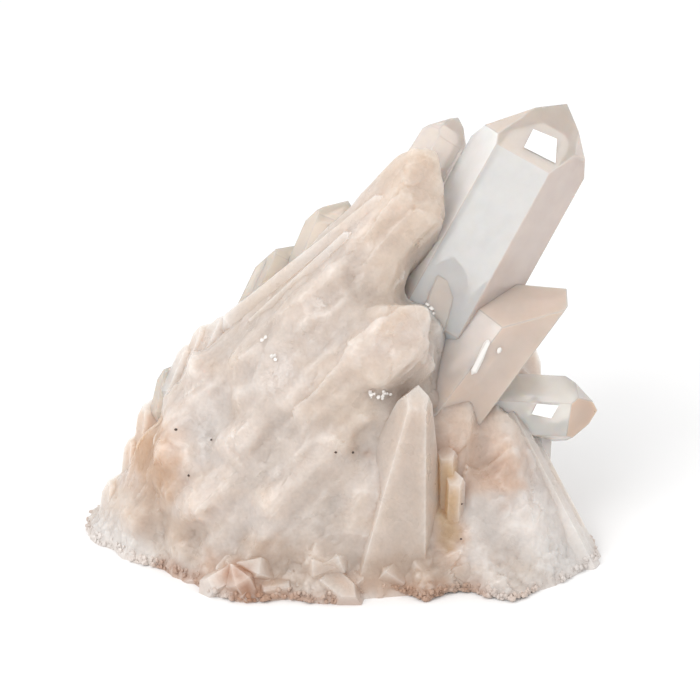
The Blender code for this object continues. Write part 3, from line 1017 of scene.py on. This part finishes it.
def fused_mass():
    """The mound and the fused crystals, grown together across the narrow clefts, then worn and broken."""
    mass = matrix_mound()
    apply_boolean(mass, "UNION", [crystal_object(crystal) for crystal in FUSED_CRYSTALS])
    apply_boolean(mass, "UNION", list(splinters(SOFT_SPLINTERS, surface_of(mass), seed=11)))
    grown = object_from(moved_out(remeshed(mass, 2 * FUSED_VOXEL), CLEFT_FILL), "grown")
    shape = smoothed(moved_out(remeshed(grown, FUSED_VOXEL), -CLEFT_FILL), SOFTENING_ROUNDS)
    shape = moved_out(shape, fused_relief(shape.points))
    bpy.data.objects.remove(mass)
    bpy.data.objects.remove(grown)
    return object_from(shape, "milky_mass")


def quartz_tint(points, base=MILK):
    """The colour of the quartz at each point: milk, mottled with tan and cool, and the stains over it."""
    tint = np.tile(np.array(base), (len(points), 1))
    mottle = waves(points, *MOTTLE) + waves(points, *FINE_MOTTLE)
    for colour, gain, most in MOTTLES:
        tint += (np.array(colour) - tint) * np.clip(mottle * gain, 0, most)[:, None]
    warp = np.stack([lattice_noise(points, WARP_SIZE, seed) for seed in WARP_SEEDS], axis=1)
    for stain in STAINS:
        share = stain_share(points + warp * min(STAIN_WARP, stain.reach * WARP_SHARE), stain)
        tint += (np.array(stain.colour) - tint) * share[:, None]
    return tint


def stain_share(points, stain):
    """How much of a stain each point has, from 0 beyond its reach to its strength near its line."""
    start, end = np.array(stain.start, float), np.array(stain.end, float)
    line = end - start
    along = np.clip((points - start) @ line / max(line @ line, MERGE), 0, 1)
    away = np.linalg.norm(points - start - along[:, None] * line, axis=1) / stain.reach
    share = np.clip(STAIN_FALL - STAIN_FALL * away, 0, 1)
    return share * share * (3 - 2 * share) * stain.strength


def edge_lit(shape, tint):
    """Painted light and shade: the tint made lighter on ridges as a painted highlight, standing for light
    leaving the thin quartz there, and deeper in hollows as painted shade.
    """
    even = smoothed(shape, EDGE_ROUNDS).points
    standing = np.einsum("ij,ij->i", shape.points - even, normals_of(shape)) / EDGE_HEIGHT
    ridge = np.clip(standing, 0, 1)[:, None]
    hollow = np.clip(-standing, 0, 1)[:, None]
    return tint + (np.array(WHITE) - tint) * ridge * EDGE_LIGHT - tint * hollow * HOLLOW_SHADE


def set_tint(mesh, tint, domain="POINT"):
    """Stores one colour for each of the mesh's points or faces."""
    attribute = mesh.attributes.new("tint", "FLOAT_COLOR", domain)
    attribute.data.foreach_set("color", np.column_stack([tint, np.ones(len(tint))]).ravel())


def gathered(shapes):
    """Several shapes as one."""
    shapes = list(shapes)
    start = np.cumsum([0] + [len(shape.points) for shape in shapes[:-1]])
    faces = [shape.faces + first for shape, first in zip(shapes, start)]
    return Shape(np.vstack([shape.points for shape in shapes]), np.vstack(faces))


def painted_highlight_facet(crystal, numbers, corners):
    """The facet as a solid, a little way into the crystal: a near-white painted highlight."""
    planes = crystal_planes(crystal)
    points, normals = zip(*(planes[number] for number in numbers))
    depths = [point.dot(normal) for point, normal in zip(points, normals)]
    corner = Vector(np.linalg.solve(np.array(normals), depths))
    face, edge, end = normals
    along = face.cross(edge).normalized()
    along *= -1 if along.dot(end) > 0 else 1  # away from the end
    away = face.cross(along)
    away *= -1 if away.dot(edge) > 0 else 1  # away from the edge
    bm = bmesh.new()
    for (left, up), out in itertools.product(corners, (FACET_STEP, -FACET_ROOT)):
        bm.verts.new(corner + along * left + away * up + face * out)
    bmesh.ops.convex_hull(bm, input=bm.verts)
    return placed(shape_of(bm), crystal_frame(crystal))


def painted_highlight_facets():
    named = {crystal.name: crystal for crystal in CLEAR_CRYSTALS}
    shapes = [painted_highlight_facet(named[name], *facet) for name, *facet in PAINTED_HIGHLIGHT_FACETS]
    return object_from(gathered(shapes), "painted_highlight_facets")


def clear_crystal(crystal):
    """A clear crystal with its film stored on its faces."""
    planes = crystal_planes(crystal)
    bm = convex_mesh(planes)
    bmesh.ops.bevel(bm, geom=bm.edges, offset=EDGE_WIDTH / 2, affect="EDGES", segments=1)
    shape = refined(shape_of(bm), CLEAR_EDGE)
    normals = np.array([normal for _, normal in planes])
    alike = unit_rows(triangle_normals(shape), CORNER_TOLERANCE) @ normals.T
    plane = np.where(alike.max(axis=1) > SAME_PLANE, np.argmax(alike, axis=1), len(planes))
    plain, single = FILMS.get(crystal.name, (FRINGE_FILM, {}))
    kinds = [(kind, side) for side in range(6) for kind in FACE_KINDS]
    # the last entry, for the bevels, is the painted edge line
    shares, tints = zip(*(single.get(kind, plain) for kind in kinds), EDGE_FILM_PAINTED_LINE)
    shape = placed(shape, crystal_frame(crystal))
    tint = np.array(tints)[plane]
    middles = shape.points[shape.faces].mean(axis=1)
    for stain in STAINS:
        if stain.colour in STAINS_ON_CLEAR:
            lighter = np.array(stain.colour) * STAIN_LIGHTER
            tint += (lighter - tint) * stain_share(middles, stain)[:, None] * STAIN_THINNER
    obj = object_from(shape, crystal.name)
    film = obj.data.attributes.new("film", "FLOAT", "FACE")
    film.data.foreach_set("value", np.array(shares)[plane])
    set_tint(obj.data, tint, "FACE")
    crisp(obj)
    return obj


def ball(middle, radius, squash=(1, 1, 1)):
    """A small round grain as a shape."""
    bm = bmesh.new()
    bmesh.ops.create_icosphere(bm, subdivisions=1, radius=1.0)
    shape = shape_of(bm)
    return Shape(shape.points * radius * np.array(squash) + np.array(middle), shape.faces)


def granule(middle, radius, dice):
    """A small broken grain, uneven all over."""
    shape = ball((0, 0, 0), radius, [dice.uniform(*GRANULE_SQUASH) for _ in range(3)])
    uneven = np.array([[dice.uniform(*GRANULE_UNEVEN)] for _ in shape.points])
    return Shape(shape.points * uneven + np.array(middle), shape.faces)


def black_specks(nearest):
    """Small dark specks on the milky quartz."""
    dice = random.Random(3)
    for place in SPECKS:
        seat, _, _, _ = nearest(place)
        yield ball(seat, SPECK_RADIUS * dice.uniform(*SPECK_UNEVEN), (1, 0.8, 0.8))


def painted_glints(nearest):
    """Chips of broken quartz in small nests, coloured near white as painted glints."""
    dice = random.Random(4)
    for place in PAINTED_GLINTS:
        for _ in range(CHIPS_PER_PAINTED_GLINT):
            aim = Vector([dice.gauss(0, CHIP_STRAY) for _ in range(3)])
            seat, out, _, _ = nearest(Vector(place) + aim * PAINTED_GLINT_SPREAD)
            size = dice.uniform(*CHIP_SIZE)
            tip = seat + (out + aim * CHIP_LEAN).normalized() * size
            foot = tip - (out + aim).normalized() * size * CHIP_LENGTH
            yield crystal_shape(Crystal("chip", tip, foot, size * CHIP_GIRTH))


def rim_grains(nearest):
    """The sugary grains that hang round the foot of the cluster."""
    dice = random.Random(6)
    outline = mound_outline(0.0)
    least, most = RIM_GRAIN_RADIUS
    for _ in range(RIM_GRAINS):
        number = dice.randrange(len(outline))
        corner = outline[number].lerp(outline[(number + 1) % len(outline)], dice.random())
        if noise.noise(corner * RIM_CLUMPS) < dice.uniform(*RIM_GAPS):
            continue
        corner.z = RIM_HEIGHT * dice.random() ** RIM_LOWNESS
        seat, out, _, _ = nearest(corner)
        radius = least + (most - least) * dice.random() ** RIM_FINENESS
        middle = seat + out * radius * dice.uniform(*RIM_OUT)
        middle.z = max(middle.z, radius)
        yield granule(middle, radius, dice)


def details(mass):
    """The small pieces on the cluster's surface, each with its material."""
    nearest = surface_of(mass)
    grains = object_from(gathered(rim_grains(nearest)), "rim_grains")
    set_tint(grains.data, quartz_tint(shape_from(grains).points, RIM_COLOUR))
    crisp(grains)
    yield grains, plain_material("sugary_quartz", 0.35)
    # painted highlight streaks, drawn in the glint colour with the chips
    painted_streaks = [crystal_shape(Crystal("painted_streak", *line)) for line in PAINTED_HIGHLIGHT_STREAKS]
    chips = gathered([*painted_glints(nearest), *painted_streaks])
    # the chips and streaks get a near-white colour: painted glints and painted highlights
    yield object_from(chips, "painted_glints"), plain_material("painted_glint", 0.12, (0.76, 0.73, 0.70))
    specks = gathered(black_specks(nearest))
    yield object_from(specks, "specks"), plain_material("speck", 0.6, (0.06, 0.04, 0.03))


def make_cluster():
    mass = fused_mass()
    nearest = surface_of(mass)
    tools = [crystal_object(crystal) for crystal in (*CRISP_CRYSTALS, *crust())]
    apply_boolean(mass, "UNION", [*tools, *splinters(CRISP_SPLINTERS, nearest, seed=11)])
    apply_boolean(mass, "DIFFERENCE", [ground_block()])
    shape = shape_from(mass)
    # the tint gets painted highlights on ridges and painted shade in hollows
    set_tint(mass.data, edge_lit(shape, quartz_tint(shape.points)))
    crisp(mass)
    dress(mass, milky_material())
    clear = clear_material()
    for crystal in (*CLEAR_CRYSTALS, *FRINGE_CRYSTALS):
        dress(clear_crystal(crystal), clear)
    # near-white steps on the clear crystals: painted highlights standing for glints of the lamp
    dress(painted_highlight_facets(), plain_material("painted_highlight_quartz", 0.1, (0.95, 0.95, 0.95)))
    for piece, material in details(mass):
        dress(piece, material)


# ---- stage, light and camera ----


def make_floor():
    bm = bmesh.new()
    bmesh.ops.create_grid(bm, x_segments=1, y_segments=1, size=FLOOR_SIZE / 2 * MM)
    mesh = bpy.data.meshes.new("floor")
    bm.to_mesh(mesh)
    bm.free()
    floor = linked("floor", mesh)
    tree = Tree("floor")
    tree.set("Base Color", (0.92, 0.92, 0.92, 1.0))
    tree.set("Roughness", 0.9)
    tree.set("Specular IOR Level", 0.0)
    floor.data.materials.append(tree.material)


def make_world():
    world = bpy.data.worlds.new("studio")
    world.use_nodes = True
    world.node_tree.nodes["Background"].inputs["Color"].default_value = (1.0, 1.0, 1.0, 1.0)
    bpy.context.scene.world = world


def make_key_light():
    lamp = bpy.data.lights.new("key", "AREA")
    lamp.size = KEY_SIZE * MM
    lamp.energy = KEY_WATTS
    key = linked("key", lamp)
    key.location = KEY_PLACE * MM
    key.rotation_euler = (CAMERA_TARGET - KEY_PLACE).to_track_quat("-Z", "Y").to_euler()


def make_camera():
    data = bpy.data.cameras.new("camera")
    data.sensor_width = SENSOR
    data.lens = CAMERA_DISTANCE / SCALE_PER_PIXEL * SENSOR / PICTURE_PIXELS
    data.clip_start, data.clip_end = 0.01, 20.0
    camera = linked("camera", data)
    camera.location = (CAMERA_TARGET + FRONT * CAMERA_DISTANCE) * MM
    camera.rotation_euler = (-FRONT).to_track_quat("-Z", "Y").to_euler()
    bpy.context.scene.camera = camera


make_cluster()
make_camera()
make_floor()  # after the cluster: Cycles blackens the first glass made after a floor
make_world()
make_key_light()
bpy.context.scene.view_settings.view_transform = "Standard"
